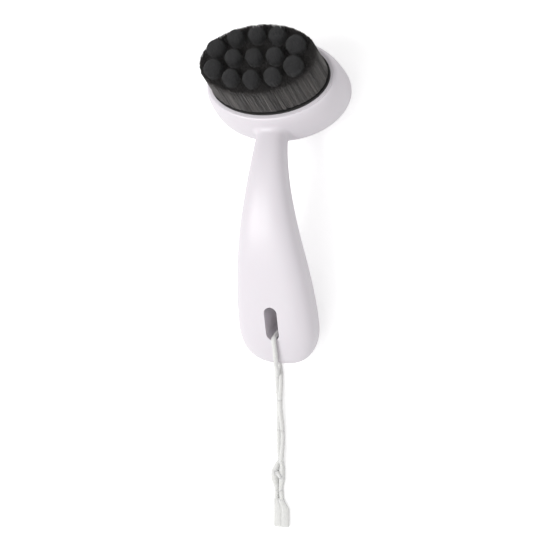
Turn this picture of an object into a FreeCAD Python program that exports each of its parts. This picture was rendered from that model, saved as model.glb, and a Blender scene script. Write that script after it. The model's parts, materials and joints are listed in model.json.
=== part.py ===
import FreeCAD, Part
import math
import os

import Sketcher
from FreeCAD import Placement, Rotation, Vector

# A facial cleansing brush with an oval fibre head, a hollow two-shell handle and a hanging cord.
#
# Two frames are used.  The brush frame has its origin at the middle of the bowl's front lip, with
# +X to the right, +Y away from the handle and +Z along the fibres.  The row frame is the one that
# is exported: the brush lies on its back on z = 0, tilted by head_tilt, with the origin at the
# middle of the flat on the back of the bowl.  Head and handle are drawn in the brush frame and
# placed; the cord lies on the table, so it is drawn in the row frame.

DIMENSIONS = (
    # alias, value in millimetres (angles in degrees, powers plain), meaning
    ("head_tilt", 18.7, "degrees the bowl leans back when the brush lies on its back"),
    ("datum_height", 25.24, "height of the lip's middle above the table"),
    ("datum_reach", -3.1, "row Y of the lip's middle"),
    ("tuft_pitch", 8.25, "spacing of the massage tufts"),
    ("tuft_radius", 3.15, "radius of a middle tuft"),
    ("end_tuft_radius", 3.6, "radius of the four tufts at the ends of the oval"),
    ("tuft_height", 21.0, "top of a tuft above the lip"),
    ("tuft_dome", 0.65, "share of a tuft's radius that its rounded top edge takes"),
    ("tuft_clearance", 0.1, "radial gap between a tuft and the short fibre"),
    ("fibre_height", 17.0, "top of the short fibre above the lip"),
    ("fibre_flare", 0.3, "how much wider the fibre is at its top than at its base"),
    ("cup_half_length", 24.6, "half length of the fibre cup, across the handle"),
    ("cup_half_width", 15.4, "half width of the fibre cup, along the handle"),
    ("cup_depth", 6.0, "depth of the cup below the lip"),
    ("cup_wall", 1.2, "wall and floor of the cup"),
    ("collar_height", 0.8, "how far the cup stands above the lip"),
    ("cup_clearance", 0.08, "gap between the cup and its seat"),
    ("peg_spacing", 30.0, "distance between the cup's two pegs"),
    ("peg_radius", 1.6, "radius of a cup peg"),
    ("peg_length", 3.4, "length of a cup peg below the cup"),
    ("resin_depth", 2.0, "thickness of the bonding resin"),
    ("lip_width", 1.3, "width of the raised lip around the cup"),
    ("lip_height", 0.5, "height of the lip above the bowl's shoulder"),
    ("head_half_length", 29.0, "half length of the bowl, across the handle"),
    ("head_half_width", 19.6, "half width of the bowl, along the handle"),
    ("shoulder_depth", 15.6, "depth of the bowl's widest ring below the lip"),
    ("back_depth", 9.5, "depth of the bowl's back below its widest ring"),
    ("neck_fillet", 2.5, "fillet where the neck leaves the bowl"),
    ("wall", 2.2, "shell wall"),
    ("seat_floor", 1.6, "thickness of the floor under the cup"),
    ("neck_depth", 10.4, "depth of the neck's centreline below the lip"),
    ("bend_start", 22.5, "distance of the handle's bend from the middle of the head"),
    ("bend_radius", 69.0, "radius of the handle's bend"),
    ("bend_angle", 38.0, "degrees the handle turns back"),
    ("neck_lead", 6.0, "length of neck before the bend where the handle starts to swell"),
    ("palm_reach", 74.0, "length from the bend's start to where the tip starts to close"),
    ("swell_length", 80.0, "length from the bend's start over which the handle swells"),
    ("swell_power", 1.6, "how early the handle swells; more is later"),
    ("tip_length", 19.0, "length of the closing tip"),
    ("neck_half_width", 5.9, "half width of the neck"),
    ("palm_half_width", 16.7, "half width of the handle at its widest"),
    ("neck_half_thickness", 5.6, "half thickness of the neck"),
    ("palm_half_thickness", 8.8, "half thickness of the handle at its widest"),
    ("section_power", 2.7, "roundness of the handle's cross-section; 2 is an ellipse"),
    ("tip_power", 2.5, "roundness of the tip seen from the front"),
    ("tip_side_power", 2.2, "roundness of the tip seen from the side"),
    ("slot_half_width", 2.7, "half width of the hanging slot"),
    ("slot_length", 14.6, "length of the hanging slot"),
    ("slot_to_tip", 14.1, "handle left between the slot and the tip"),
    ("pin_radius", 1.5, "radius of a locating pin"),
    ("boss_wall", 1.6, "wall of the boss around a pin"),
    ("head_pin_spacing", 41.0, "distance between the two pins in the head"),
    ("neck_pin_reach", 16.0, "distance of the neck's pin beyond the bend's start"),
    ("palm_pin_reach", 52.0, "distance of the palm's pin beyond the bend's start"),
    ("pin_clearance", 0.1, "gap around a locating pin"),
    ("pin_length", 3.0, "how far a pin reaches into the front shell"),
    ("strand_radius", 0.9, "radius of one strand of the cord"),
    ("strand_gap", 0.15, "gap between the cord and the handle"),
    ("strand_ring_step", 1.5, "distance between the rings that a strand is lofted through"),
    ("turn_radius", 1.5, "radius of a strand's turn over the slot's edge"),
    ("slot_offset", 0.5, "how far to the right of the slot's middle the cord passes through it"),
    ("front_bow", 1.55, "how far the front strand bows to the right of a straight line"),
    ("rear_bow", -2.4, "how far the rear strand bows to the right of a straight line"),
    ("swing_room", 30.0, "degrees the strands swing to either side without touching the handle"),
    ("cross_left", 3.84, "how far to the left of the tip the strands meet"),
    ("cross_reach", 6.8, "distance of the strands' meeting point beyond the tip"),
    ("run_half_width", 1.9, "half width of the doubled cord"),
    ("run_half_height", 0.95, "half height of the doubled cord"),
    ("loop_setback", 1.6, "distance of the loop's two ends from the strands' meeting point"),
    ("run_length", 13.0, "length of the upper and middle segments of the doubled cord"),
    ("lower_run_length", 10.5, "length of the doubled cord's segment above the knot"),
    ("run_gap", 0.1, "gap between one cord segment and the next"),
    ("run_wander", 0.5, "how far each segment drifts to the right at rest"),
    ("knot_wander", -1.5, "sideways offset of the knot from the segment above it"),
    ("tab_wander", 2.0, "sideways offset of the end tab from the knot"),
    ("knot_length", 12.5, "length of the knot"),
    ("knot_half_width", 3.1, "half width of the knot"),
    ("knot_half_height", 2.1, "half height of the knot"),
    ("tab_neck", 4.0, "length of cord between the knot and the end tab"),
    ("tab_length", 12.4, "length of the flat end tab"),
    ("tab_width", 7.0, "width of the end tab"),
    ("tab_thickness", 2.2, "thickness of the end tab"),
    ("tab_corner", 1.2, "corner radius of the end tab"),
)

# Tuft columns from left to right: place of the column, places of its tufts along the handle and
# whether they are the larger end tufts.  Places are in tuft pitches.
TUFT_COLUMNS = (
    (-1.93, (0.50, -0.50), True),
    (-1.0, (0.99, 0.0, -0.99), False),
    (0.0, (1.08, 0.0, -1.08), False),
    (1.0, (0.99, 0.0, -0.99), False),
    (1.93, (0.50, -0.50), True),
)

SECTION_SIDES = 28                   # points in a cross-section of the handle
SECTION_SEAM = math.radians(-62)     # where a section starts, clear of the parting line
BODY_STEPS = 9                       # sections between the head and the closing tip
TIP_STEPS = 7                        # sections in the closing tip
BOWL_STEPS = 6                       # ovals in the bowl's back, and again in its shoulder
FIRST_BOWL_STEP = 0.4                # how far the first oval is from the middle of the back
FAR = 60.0                           # reach of blocks that only have to pass the brush
SWING_STEPS = 10                     # angles tried for the strands' swing
STRAND_STEPS = 18                    # points along a strand where it lies on the handle
ARC_STEPS = 6                        # points in a strand's turn over the slot's edge

doc = FreeCAD.newDocument("facial_cleansing_brush")
sheet = doc.addObject("Spreadsheet::Sheet", "dims")
for row, (alias, value, meaning) in enumerate(DIMENSIONS, start=1):
    sheet.set(f"A{row}", meaning)
    sheet.set(f"B{row}", str(value))
    sheet.setAlias(f"B{row}", alias)
doc.recompute()


def size(alias):
    """One driving dimension as a plain number."""
    return float(getattr(sheet, alias))


def bind(feature, **expressions):
    """Bind properties of a document object to the sheet."""
    for name, expression in expressions.items():
        feature.setExpression(name, expression)
    return feature


def place_brush(feature):
    """Lay a feature that is drawn in the brush frame on its back in the row frame."""
    feature.Placement = Placement(Vector(0, 0, 0), Rotation(Vector(-1, 0, 0), size("head_tilt")))
    feature.setExpression("Placement.Base.y", "dims.datum_reach")
    feature.setExpression("Placement.Base.z", "dims.datum_height")
    feature.setExpression("Placement.Rotation.Angle", "dims.head_tilt * 1 deg")
    return feature


def brush_to_row():
    """The placement that takes brush coordinates to row coordinates."""
    turn = Rotation(Vector(-1, 0, 0), size("head_tilt"))
    return Placement(Vector(0, size("datum_reach"), size("datum_height")), turn)


def computed(name, shape):
    """A document object that holds a free-form shape worked out from the sheet."""
    feature = doc.addObject("Part::Feature", name)
    feature.Shape = shape
    return feature


def join(name, *features):
    fuse = doc.addObject("Part::MultiFuse", name)
    fuse.Shapes = list(features)
    fuse.Refine = False
    return fuse


def cut(name, base, tool):
    result = doc.addObject("Part::Cut", name)
    result.Base = base
    result.Tool = tool
    result.Refine = False
    return result


def common(name, base, tool):
    result = doc.addObject("Part::Common", name)
    result.Base = base
    result.Tool = tool
    result.Refine = False
    return result


# ---------------------------------------------------------------- handle centreline and skins

def bend_length():
    return size("bend_radius") * math.radians(size("bend_angle"))


def tip_distance():
    """Centreline length from the bend's start to the tip."""
    return size("palm_reach") + size("tip_length")


def centreline(distance):
    """Point and slope (radians) of the handle's centreline, in the brush frame's YZ plane.

    Distance is measured from the start of the bend, and is negative inside the head.
    """
    y = -size("bend_start")
    z = -size("neck_depth")
    if distance <= 0:
        return Vector(0, y - distance, z), 0.0
    radius = size("bend_radius")
    turned = min(distance, bend_length()) / radius
    y -= radius * math.sin(turned)
    z -= radius * (1 - math.cos(turned))
    straight = max(distance - bend_length(), 0)
    return Vector(0, y - straight * math.cos(turned), z - straight * math.sin(turned)), turned


def along(slope):
    """Unit vector along the handle towards its tip."""
    return Vector(0, -math.cos(slope), -math.sin(slope))


def outward(slope):
    """Unit vector out of the handle's front."""
    return Vector(0, -math.sin(slope), math.cos(slope))


def swell(distance):
    """Share of the growth from neck to palm that is reached at a distance, from 0 to 1."""
    lead = size("neck_lead")
    share = (distance + lead) / (size("swell_length") + lead)
    return math.sin(0.5 * math.pi * min(max(share, 0), 1)) ** size("swell_power")


def closing(distance, power):
    """How far the tip has closed: 1 at the widest place and 0 at the tip."""
    share = (distance - size("palm_reach")) / size("tip_length")
    if share <= 0:
        return 1.0
    return max(1 - share ** power, 0) ** (1 / power)


def half_width(distance):
    grown = size("neck_half_width") + (size("palm_half_width") - size("neck_half_width")) * swell(distance)
    return grown * closing(distance, size("tip_power"))


def half_thickness(distance):
    neck = size("neck_half_thickness")
    grown = neck + (size("palm_half_thickness") - neck) * swell(distance)
    return grown * closing(distance, size("tip_side_power"))


def smooth_loop(points):
    """A closed smooth wire through the points."""
    curve = Part.BSplineCurve()
    curve.interpolate(points, PeriodicFlag=True)
    return Part.Wire(curve.toShape())


def handle_section(distance, inset):
    """One superelliptic cross-section of the handle, made smaller by inset all round."""
    centre, slope = centreline(distance)
    width = half_width(distance) - inset
    thickness = half_thickness(distance) - inset
    exponent = 2 / size("section_power")
    points = []
    for step in range(SECTION_SIDES):
        angle = SECTION_SEAM + 2 * math.pi * step / SECTION_SIDES
        across = math.copysign(abs(math.cos(angle)) ** exponent, math.cos(angle)) * width
        up = math.copysign(abs(math.sin(angle)) ** exponent, math.sin(angle)) * thickness
        points.append(centre + Vector(across, 0, 0) + outward(slope) * up)
    return smooth_loop(points)


def handle_skin(start, inset):
    """The handle as one smooth solid from inside the head to its rounded tip."""
    palm = size("palm_reach")
    stations = [start + (palm - start) * step / BODY_STEPS for step in range(BODY_STEPS)]
    reach = size("tip_length") - inset
    stations += [palm + reach * math.sin(0.5 * math.pi * step / TIP_STEPS) for step in range(TIP_STEPS)]
    sections = [handle_section(station, inset) for station in stations]
    sections.append(Part.Vertex(centreline(palm + reach)[0]))
    return Part.makeLoft(sections, True, False)


def head_skin(inset):
    """The bowl: ellipses that swell from the lip to the widest ring and close in the back."""
    ring = -size("shoulder_depth")
    top = -size("lip_height") - inset
    rim_length = size("cup_half_length") + size("lip_width")
    rim_width = size("cup_half_width") + size("lip_width")
    spread_length = size("head_half_length") - rim_length
    spread_width = size("head_half_width") - rim_width
    sections = [Part.Vertex(Vector(0, 0, ring - size("back_depth") + inset))]
    for step in range(BOWL_STEPS):
        angle = 0.5 * math.pi * (step + FIRST_BOWL_STEP) / BOWL_STEPS
        height = ring - (size("back_depth") - inset) * math.cos(angle)
        scale = math.sin(angle)
        length = (size("head_half_length") - inset) * scale
        width = (size("head_half_width") - inset) * scale
        sections.append(oval_wire(length, width, height))
    for step in range(BOWL_STEPS + 1):
        angle = 0.5 * math.pi * step / BOWL_STEPS
        height = ring + (top - ring) * math.sin(angle)
        length = rim_length + spread_length * math.cos(angle) - inset
        width = rim_width + spread_width * math.cos(angle) - inset
        sections.append(oval_wire(length, width, height))
    return Part.makeLoft(sections, True, False)


def oval_wire(half_length, half_width_, height):
    centre = Vector(0, 0, height)
    oval = Part.Ellipse(centre, half_length, half_width_)
    return Part.Wire(oval.toShape())


def oval_prism(half_length, half_width_, bottom, top):
    """An upright oval block."""
    return Part.Face(oval_wire(half_length, half_width_, bottom)).extrude(Vector(0, 0, top - bottom))


def slot_prism(grown):
    """The hanging slot through the handle, made wider by grown all round."""
    reach = 2 * size("palm_half_thickness")
    radius = size("slot_half_width") + grown
    half_straight = size("slot_length") / 2 - size("slot_half_width")
    middle = tip_distance() - size("slot_to_tip") - size("slot_length") / 2
    centre, slope = centreline(middle)
    ends = []
    for side in (-1, 1):
        foot = centre + along(slope) * (side * half_straight) - outward(slope) * reach
        ends.append(Part.makeCylinder(radius, 2 * reach, foot, outward(slope)))
    corners = []
    for across, down in ((-1, -1), (1, -1), (1, 1), (-1, 1)):
        offset = Vector(across * radius, 0, 0) + along(slope) * (down * half_straight)
        corners.append(centre + offset - outward(slope) * reach)
    block = Part.Face(Part.makePolygon(corners + corners[:1])).extrude(outward(slope) * (2 * reach))
    return block.multiFuse(ends).removeSplitter()


def parting_block():
    """Everything in front of the parting line, which follows the bowl's ring and the centreline."""
    ring = -size("shoulder_depth")
    bend = Vector(0, -size("bend_start"), -size("neck_depth"))
    corner = Vector(0, FAR / 2, ring)
    leave = Vector(0, -size("cup_half_width") / 2, ring)
    half_gap = Vector(0, (leave.y - bend.y) / 2, 0)
    rise = Part.BezierCurve()
    rise.setPoles([leave, leave - half_gap, bend + half_gap, bend])
    middle = centreline(bend_length() / 2)[0]
    bend_end = centreline(bend_length())[0]
    beyond = centreline(tip_distance() + FAR / 4)[0]
    edges = [
        Part.makeLine(corner, leave),
        rise.toShape(),
        Part.Arc(bend, middle, bend_end).toShape(),
        Part.makeLine(bend_end, beyond),
        Part.makeLine(beyond, Vector(0, beyond.y, FAR)),
        Part.makeLine(Vector(0, beyond.y, FAR), Vector(0, corner.y, FAR)),
        Part.makeLine(Vector(0, corner.y, FAR), corner),
    ]
    profile = Part.Wire(edges)
    profile.translate(Vector(-FAR, 0, 0))
    return Part.Face(profile).extrude(Vector(2 * FAR, 0, 0))


def outer_skin():
    """Bowl, raised lip and handle as one closed skin, with the neck's fillet."""
    lip = oval_prism(size("cup_half_length") + size("lip_width"),
                     size("cup_half_width") + size("lip_width"), -2 * size("lip_height"), 0)
    skin = head_skin(0).multiFuse([handle_skin(-size("bend_start") / 2, 0)])
    neck_edges = [edge for edge in skin.Edges if is_neck_edge(edge)]
    return skin.makeFillet(size("neck_fillet"), neck_edges).multiFuse([lip])


def is_neck_edge(edge):
    """True for the closed curve where the neck leaves the bowl."""
    box = edge.BoundBox
    near_neck = -size("bend_start") - size("neck_half_thickness") < box.YMin
    return near_neck and box.YMax < -size("cup_half_width") / 2 and edge.Length > size("neck_half_width")


def hollow_space():
    """The empty space in the bowl and handle."""
    inset = size("wall")
    floor_low = -(size("cup_depth") + size("cup_clearance") + size("seat_floor"))
    above_floor = Part.makeBox(2 * FAR, 2 * FAR, FAR, Vector(-FAR, -FAR, floor_low))
    bowl = head_skin(inset).cut(above_floor)
    handle = handle_skin(size("cup_half_width") + 2 * size("cup_clearance") - size("bend_start"), inset)
    return bowl.multiFuse([handle])


def pin_places():
    """Foot point on the parting surface and axis of every locating pin."""
    places = []
    for side in (-0.5, 0.5):
        foot = Vector(side * size("head_pin_spacing"), 0, -size("shoulder_depth"))
        places.append((foot, Vector(0, 0, 1)))
    for distance in (size("neck_pin_reach"), size("palm_pin_reach")):
        centre, slope = centreline(distance)
        places.append((centre, outward(slope)))
    return places


def pin_posts(radius, low, high):
    """A round post at every pin place, from low to high along the pin's axis."""
    posts = [Part.makeCylinder(radius, high - low, foot + axis * low, axis) for foot, axis in pin_places()]
    return Part.makeCompound(posts)


def peg_holes():
    """Holes in the seat floor for the cup's pegs."""
    radius = size("peg_radius") + size("pin_clearance")
    depth = size("cup_depth") + size("peg_length") + size("seat_floor")
    feet = [Vector(side * size("peg_spacing"), 0, -depth) for side in (-0.5, 0.5)]
    return Part.makeCompound([Part.makeCylinder(radius, depth, foot) for foot in feet])


def make_shells():
    """Front and rear shells of the handle and bowl."""
    clearance = size("cup_clearance")
    reach = 2 * size("palm_half_thickness")
    boss = size("pin_radius") + size("boss_wall")

    skin = computed("outer_skin", outer_skin())
    hollow = computed("hollow_space", hollow_space())
    bosses = computed("pin_bosses", pin_posts(boss, -reach, reach))
    slot_wall = computed("slot_wall", slot_prism(size("wall")))
    solid_places = join("solid_places", bosses, slot_wall)
    open_space = cut("open_space", hollow, solid_places)
    thick_shell = cut("hollowed_skin", skin, open_space)

    well = computed("cup_well", oval_prism(size("cup_half_length") + clearance,
                                           size("cup_half_width") + clearance,
                                           -(size("cup_depth") + clearance), reach))
    slot = computed("slot_opening", slot_prism(0))
    holes = computed("peg_holes", peg_holes())
    table = doc.addObject("Part::Box", "table_block")
    bind(table, Length=str(2 * FAR), Width=str(4 * FAR), Height="dims.head_half_width")
    corner = Vector(-FAR, -3 * FAR, -size("head_half_width"))
    table.Placement = brush_to_row().inverse().multiply(Placement(corner, Rotation()))
    opened = thick_shell
    for tool in (well, slot, holes, table):
        opened = cut(f"skin_less_{tool.Name}", opened, tool)

    block = computed("parting_block", parting_block())
    front_half = common("front_half", opened, block)
    rear_half = cut("rear_half", opened, block)

    sockets = computed("pin_sockets", pin_posts(size("pin_radius") + size("pin_clearance"), -reach,
                                                size("pin_length") + size("pin_clearance")))
    pins = computed("locating_pins", pin_posts(size("pin_radius"), -size("pin_length"), size("pin_length")))
    front = cut("front_shell", front_half, sockets)
    rear = join("rear_shell", rear_half, pins)
    return [place_brush(front), place_brush(rear)]


# ---------------------------------------------------------------- bristle cup, resin and fibre

def origin_plane(body, role):
    for feature in body.Origin.OriginFeatures:
        if feature.Role == role:
            return feature
    raise ValueError(role)


def level_sketch(body, name, height):
    """A sketch on a level plane of the body at a height given as an expression."""
    sketch = body.newObject("Sketcher::SketchObject", name)
    sketch.AttachmentSupport = [(origin_plane(body, "XY_Plane"), "")]
    sketch.MapMode = "FlatFace"
    sketch.setExpression("AttachmentOffset.Base.z", height)
    return sketch


def add_oval(sketch, length, width):
    """A centred oval whose full length and width are expressions."""
    oval = sketch.addGeometry(Part.Ellipse(Vector(0, 0, 0), size("cup_half_length"), size("cup_half_width")))
    sketch.exposeInternalGeometry(oval)
    major_axis = oval + 1
    minor_axis = oval + 2
    sketch.addConstraint(Sketcher.Constraint("Coincident", oval, 3, -1, 1))
    sketch.addConstraint(Sketcher.Constraint("Horizontal", major_axis))
    for axis, expression, value in (
        (major_axis, length, 2 * size("cup_half_length")),
        (minor_axis, width, 2 * size("cup_half_width")),
    ):
        rule = sketch.addConstraint(Sketcher.Constraint("Distance", axis, value))
        sketch.setExpression(f"Constraints[{rule}]", expression)


def make_cup():
    """The oval cup with its wall, floor and two pegs."""
    body = doc.addObject("PartDesign::Body", "bristle_cup")
    outline = level_sketch(body, "cup_outline", "-dims.cup_depth")
    add_oval(outline, "2 * dims.cup_half_length", "2 * dims.cup_half_width")
    block = body.newObject("PartDesign::Pad", "cup_block")
    block.Profile = outline
    bind(block, Length="dims.cup_depth + dims.collar_height")

    bore = level_sketch(body, "cup_bore", "dims.collar_height")
    add_oval(bore, "2 * (dims.cup_half_length - dims.cup_wall)", "2 * (dims.cup_half_width - dims.cup_wall)")
    pocket = body.newObject("PartDesign::Pocket", "cup_pocket")
    pocket.Profile = bore
    bind(pocket, Length="dims.cup_depth + dims.collar_height - dims.cup_wall")

    feet = level_sketch(body, "peg_circles", "-dims.cup_depth")
    for side in (-1, 1):
        middle = Vector(side * size("peg_spacing") / 2, 0, 0)
        circle = feet.addGeometry(Part.Circle(middle, Vector(0, 0, 1), size("peg_radius")))
        feet.addConstraint(Sketcher.Constraint("PointOnObject", circle, 3, -1))
        radius = feet.addConstraint(Sketcher.Constraint("Radius", circle, size("peg_radius")))
        feet.setExpression(f"Constraints[{radius}]", "dims.peg_radius")
        place = feet.addConstraint(Sketcher.Constraint("DistanceX", -1, 1, circle, 3, middle.x))
        feet.setExpression(f"Constraints[{place}]", f"{side} * dims.peg_spacing / 2")
    pegs = body.newObject("PartDesign::Pad", "cup_pegs")
    pegs.Profile = feet
    pegs.Reversed = True
    bind(pegs, Length="dims.peg_length")
    return place_brush(body)


def make_resin():
    """The layer that bonds the fibre roots to the cup's floor."""
    body = doc.addObject("PartDesign::Body", "bonding_resin")
    outline = level_sketch(body, "resin_outline", "dims.cup_wall - dims.cup_depth")
    gap = "dims.cup_wall - dims.cup_clearance"
    add_oval(outline, f"2 * (dims.cup_half_length - {gap})", f"2 * (dims.cup_half_width - {gap})")
    layer = body.newObject("PartDesign::Pad", "resin_layer")
    layer.Profile = outline
    bind(layer, Length="dims.resin_depth")
    return place_brush(body)


ROOT_HEIGHT = "(dims.cup_wall - dims.cup_depth + dims.resin_depth)"


def tuft_places():
    """Column, row and size of every massage tuft, in tuft pitches."""
    for column, rows, is_end in TUFT_COLUMNS:
        for along_handle in rows:
            yield column, along_handle, is_end


def tuft_cylinder(name, column, along_handle, radius, top):
    """An upright cylinder from the fibre roots at a tuft's place."""
    post = doc.addObject("Part::Cylinder", name)
    bind(post, Radius=radius, Height=f"{top} - {ROOT_HEIGHT}")
    post.setExpression("Placement.Base.x", f"{column} * dims.tuft_pitch")
    post.setExpression("Placement.Base.y", f"{along_handle} * dims.tuft_pitch")
    post.setExpression("Placement.Base.z", ROOT_HEIGHT)
    return post


def tuft_radius_name(is_end):
    return "dims.end_tuft_radius" if is_end else "dims.tuft_radius"


def make_tufts():
    """The massage tufts: round bundles with a low domed top."""
    tufts = []
    for number, (column, along_handle, is_end) in enumerate(tuft_places(), start=1):
        post = tuft_cylinder(f"tuft_post_{number:02d}", column, along_handle,
                             tuft_radius_name(is_end), "dims.tuft_height")
        tuft = doc.addObject("Part::Fillet", f"massage_tuft_{number:02d}")
        tuft.Base = post
        doc.recompute()
        top_edge = max(range(len(post.Shape.Edges)), key=lambda index: post.Shape.Edges[index].BoundBox.ZMin)
        dome = size("tuft_dome") * float(post.Radius)
        tuft.Edges = [(top_edge + 1, dome, dome)]
        tufts.append(place_brush(tuft))
    return tufts


def make_fibre_field():
    """The short fibre around the tufts, with a round hole for each of them."""
    ovals = []
    top = "dims.fibre_height"
    for name, height, flare in (("fibre_base", ROOT_HEIGHT, "0"), ("fibre_top", top, "dims.fibre_flare")):
        oval = doc.addObject("Part::Ellipse", name)
        change = f"{flare} - dims.cup_wall - dims.cup_clearance"
        bind(oval, MajorRadius=f"dims.cup_half_length + {change}", MinorRadius=f"dims.cup_half_width + {change}")
        oval.setExpression("Placement.Base.z", height)
        ovals.append(oval)
    block = doc.addObject("Part::Loft", "fibre_block")
    block.Sections = ovals
    block.Solid = True
    block.Ruled = True
    holes = []
    for number, (column, along_handle, is_end) in enumerate(tuft_places(), start=1):
        radius = f"{tuft_radius_name(is_end)} + dims.tuft_clearance"
        above = f"{top} + dims.tuft_clearance"
        holes.append(tuft_cylinder(f"tuft_hole_{number:02d}", column, along_handle, radius, above))
    return place_brush(cut("bristle_field", block, join("tuft_holes", *holes)))


# ---------------------------------------------------------------- cord, in the row frame

def turning_distance():
    """Centreline distance of the slot's round lower end, about which the cord's loop turns."""
    return tip_distance() - size("slot_to_tip") - size("slot_half_width")


def crossing_point():
    """Where the two strands meet on the table, in the row frame."""
    tip = brush_to_row().multVec(centreline(tip_distance())[0])
    return Vector(-size("cross_left"), tip.y - size("cross_reach"), size("run_half_height"))


def skin_height(distance, across):
    """Height of the handle's front above its centreline, at a sideways offset."""
    width = half_width(distance)
    if abs(across) >= width:
        return 0.0
    power = size("section_power")
    return half_thickness(distance) * (1 - (abs(across) / width) ** power) ** (1 / power)


def swept_height(reach):
    """Greatest skin height under a strand at a reach from the turning point, over its swing."""
    heights = []
    for step in range(SWING_STEPS + 1):
        angle = math.radians(size("swing_room")) * step / SWING_STEPS
        distance = turning_distance() + reach * math.cos(angle)
        heights.append(skin_height(distance, reach * math.sin(angle)))
    return max(heights)


def taut(points):
    """The points that a string pulled tight over all of them would touch, from first to last."""
    kept = []
    for reach, height in points:
        while len(kept) > 1:
            (reach_1, height_1), (reach_2, height_2) = kept[-2:]
            rise = (height_2 - height_1) * (reach - reach_1) - (height - height_1) * (reach_2 - reach_1)
            if rise > 0:
                break
            kept.pop()
        kept.append((reach, height))
    return kept


def strand_profile(end_reach, end_height):
    """Reach and height of one taut strand's centre, from the slot's middle to its end point."""
    lift = size("strand_radius") + size("strand_gap")
    turn = size("turn_radius")
    edge_reach = size("slot_half_width")
    edge_height = skin_height(turning_distance() + edge_reach, 0)
    inset = (turn - lift) / math.sqrt(2)
    centre_reach = edge_reach + inset
    centre_height = edge_height - inset
    inside = [(centre_reach - turn, centre_height * share) for share in (0.0, 0.4, 0.8)]
    over = []
    for step in range(ARC_STEPS + 1):
        angle = 0.5 * math.pi * step / ARC_STEPS
        over.append((centre_reach - turn * math.cos(angle), centre_height + turn * math.sin(angle)))
    span = size("slot_half_width") + size("slot_to_tip") - centre_reach
    for step in range(1, STRAND_STEPS):
        reach = centre_reach + span * step / STRAND_STEPS
        half_step = span / STRAND_STEPS / 2
        fall = (swept_height(reach - half_step) - swept_height(reach + half_step)) / (2 * half_step)
        length = math.hypot(1, fall)
        over.append((reach + lift * fall / length, swept_height(reach) + lift / length))
    over = taut(over + [(end_reach, end_height)])
    last_reach, last_height = over[-2]
    for share in (2 / 3, 1 / 3):
        between = (end_reach - (end_reach - last_reach) * share, end_height - (end_height - last_height) * share)
        over.insert(-1, between)
    return inside + over


def strand_path(side):
    """Points of the front strand (side 1) or rear strand (side -1), in the row frame."""
    to_row = brush_to_row()
    turn, slope = centreline(turning_distance())
    down = to_row.Rotation.multVec(along(slope))
    out = to_row.Rotation.multVec(outward(slope))
    start = to_row.multVec(turn)
    meeting = crossing_point()
    beside = size("run_half_width") - size("strand_radius")
    end_across = meeting.x - side * beside
    bow = size("front_bow") if side > 0 else size("rear_bow")
    profile = strand_profile((meeting - start).dot(down), side * (meeting - start).dot(out))
    first = profile[0][0]
    path = []
    for reach, height in profile:
        share = (reach - first) / (profile[-1][0] - first)
        across = size("slot_offset") + (end_across - size("slot_offset")) * share
        across += bow * 4 * share * (1 - share)
        point = start + down * reach + out * (side * height)
        path.append(Vector(across, point.y, point.z))
    return path


def set_back(start, end, distance):
    """The point at a distance from start on the way to end."""
    step = Vector(end - start)
    step.normalize()
    return start + step * distance


def strand_ring(place, ahead, radius):
    """A circle of two half turns around a place on a strand, square to the direction ahead."""
    level = Vector(1, 0, 0) - ahead * ahead.x
    turn = Rotation(level, Vector(0, 0, 0), ahead, "ZXY")
    left, front, right, back = [place + turn.multVec(Vector(*corner, 0) * radius)
                                for corner in ((1, 0), (0, 1), (-1, 0), (0, -1))]
    return Part.Wire([Part.Arc(left, front, right).toShape(), Part.Arc(right, back, left).toShape()])


def round_strand(points, radius):
    """A round strand along a smooth curve through the points, lofted through even rings."""
    curve = Part.BSplineCurve()
    curve.interpolate(points)
    count = int(curve.length() / size("strand_ring_step"))
    rings = []
    for place in curve.discretize(Number=count):
        ahead = curve.tangent(curve.parameter(place))[0]
        rings.append(strand_ring(place, ahead, radius))
    return Part.makeLoft(rings, True, False)


def make_loop():
    """The strand through the slot and around the tip; its ends stop just short of the crossing."""
    path = list(reversed(strand_path(-1))) + strand_path(1)[1:]
    path[0] = set_back(path[0], path[1], size("loop_setback"))
    path[-1] = set_back(path[-1], path[-2], size("loop_setback"))
    return computed("cord_loop", round_strand(path, size("strand_radius")))


def round_bar(start, end, half_width_, half_height, start_axis, end_axis):
    """A flat length of cord from start to end, each end rounded about the given axis.

    An end rounded about "level" turns up and down; one rounded about "upright" turns sideways.
    """
    span = end - start
    length = span.Length
    pieces = []
    inner = [0.0, length]
    for index, axis in enumerate((start_axis, end_axis)):
        radius = half_height if axis == "level" else half_width_
        if axis == "flat":
            continue
        place = radius if index == 0 else length - radius
        inner[index] = place
        if axis == "level":
            foot, direction, tall = Vector(-half_width_, place, 0), Vector(1, 0, 0), 2 * half_width_
        else:
            foot, direction, tall = Vector(0, place, -half_height), Vector(0, 0, 1), 2 * half_height
        pieces.append(Part.makeCylinder(radius, tall, foot, direction))
    corner = Vector(-half_width_, inner[0], -half_height)
    bar = Part.makeBox(2 * half_width_, inner[1] - inner[0], 2 * half_height, corner)
    bar = bar.multiFuse(pieces).removeSplitter()
    turn = Rotation(Vector(0, 1, 0), span)
    bar.Placement = Placement(start, turn)
    return bar


def cord_joints():
    """The points where the cord bends, from the crossing to the knot's far end."""
    crossing = crossing_point()
    upper = crossing + Vector(size("run_wander"), -size("run_length"), 0)
    middle = upper + Vector(size("run_wander"), -size("run_length"), 0)
    knot_start = middle + Vector(0, -size("lower_run_length"), 0)
    knot_end = knot_start + Vector(size("knot_wander"), -size("knot_length"), 0)
    return crossing, upper, middle, knot_start, knot_end


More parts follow.
